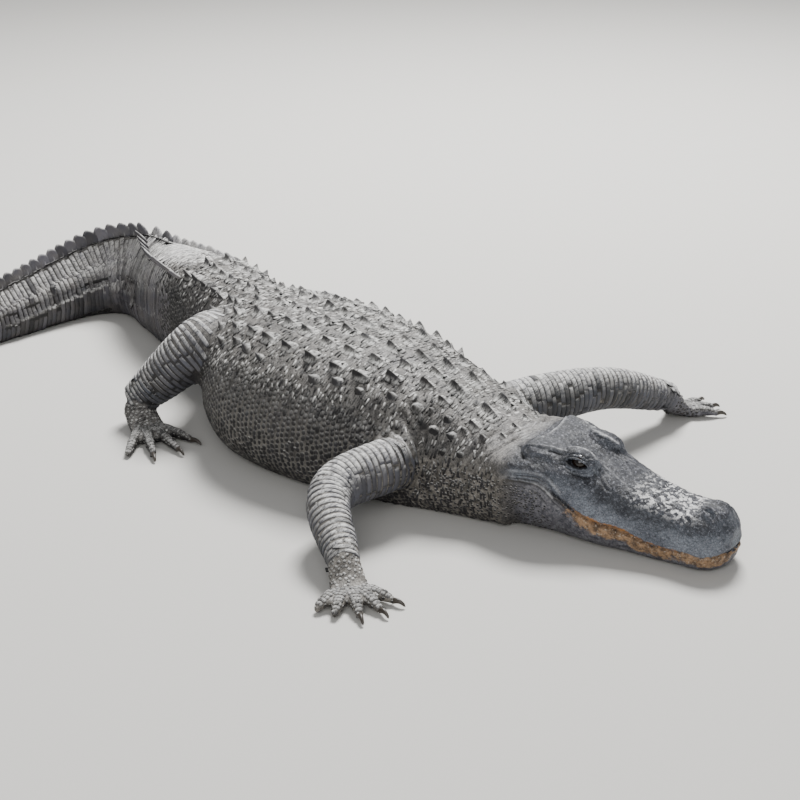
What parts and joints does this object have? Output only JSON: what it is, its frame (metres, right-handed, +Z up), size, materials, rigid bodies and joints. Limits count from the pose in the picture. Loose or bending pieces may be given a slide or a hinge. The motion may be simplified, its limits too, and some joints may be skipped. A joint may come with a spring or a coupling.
{
  "type": "american alligator model",
  "caption": "Life-size alligator lying on its belly, head low, one arm reaching out, tail swung to its right with a raised crest.",
  "frame": {"origin": "on the floor under the middle of the belly, 0.87 m behind the snout tip along the spine", "axes": "+X towards the snout, +Y to the animal's left, +Z up"},
  "size_m": [2.0872, 1.744, 0.3139],
  "materials": {
    "body_hide": "dry scaly hide, dusty grey-black, rough",
    "limb_hide": "dry hide with cross rows of scales, grey-black",
    "tail_hide": "dry ribbed hide with raised crest, grey-black",
    "jaw_hide": "dry grey hide, tan and orange along the lip",
    "eye": "wet dark brown eye, glossy",
    "claw_horn": "worn dark horn, half gloss"
  },
  "bodies": {
    "root": {"cranium": "body_hide", "lower_jaw": "jaw_hide", "eye_left": "eye", "ear_flap_left": "body_hide", "eye_right": "eye", "ear_flap_right": "body_hide", "neck": "body_hide", "torso_front": "body_hide", "torso_rear": "body_hide", "pelvis": "body_hide", "tail_base": "tail_hide", "tail_bend": "tail_hide", "tail_rear": "tail_hide", "tail_tip": "tail_hide", "upper_arm_right": "limb_hide", "forearm_right": "limb_hide", "claw_hand_right_1": "claw_horn", "claw_hand_right_2": "claw_horn", "claw_hand_right_3": "claw_horn", "hand_right": "limb_hide", "upper_arm_left": "limb_hide", "forearm_left": "limb_hide", "claw_hand_left_1": "claw_horn", "claw_hand_left_2": "claw_horn", "claw_hand_left_3": "claw_horn", "hand_left": "limb_hide", "thigh_right": "limb_hide", "shank_right": "limb_hide", "claw_foot_right_1": "claw_horn", "claw_foot_right_2": "claw_horn", "claw_foot_right_3": "claw_horn", "foot_right": "limb_hide", "thigh_left": "limb_hide", "shank_left": "limb_hide", "claw_foot_left_1": "claw_horn", "claw_foot_left_2": "claw_horn", "claw_foot_left_3": "claw_horn", "foot_left": "limb_hide"}
  },
  "joints": []
}
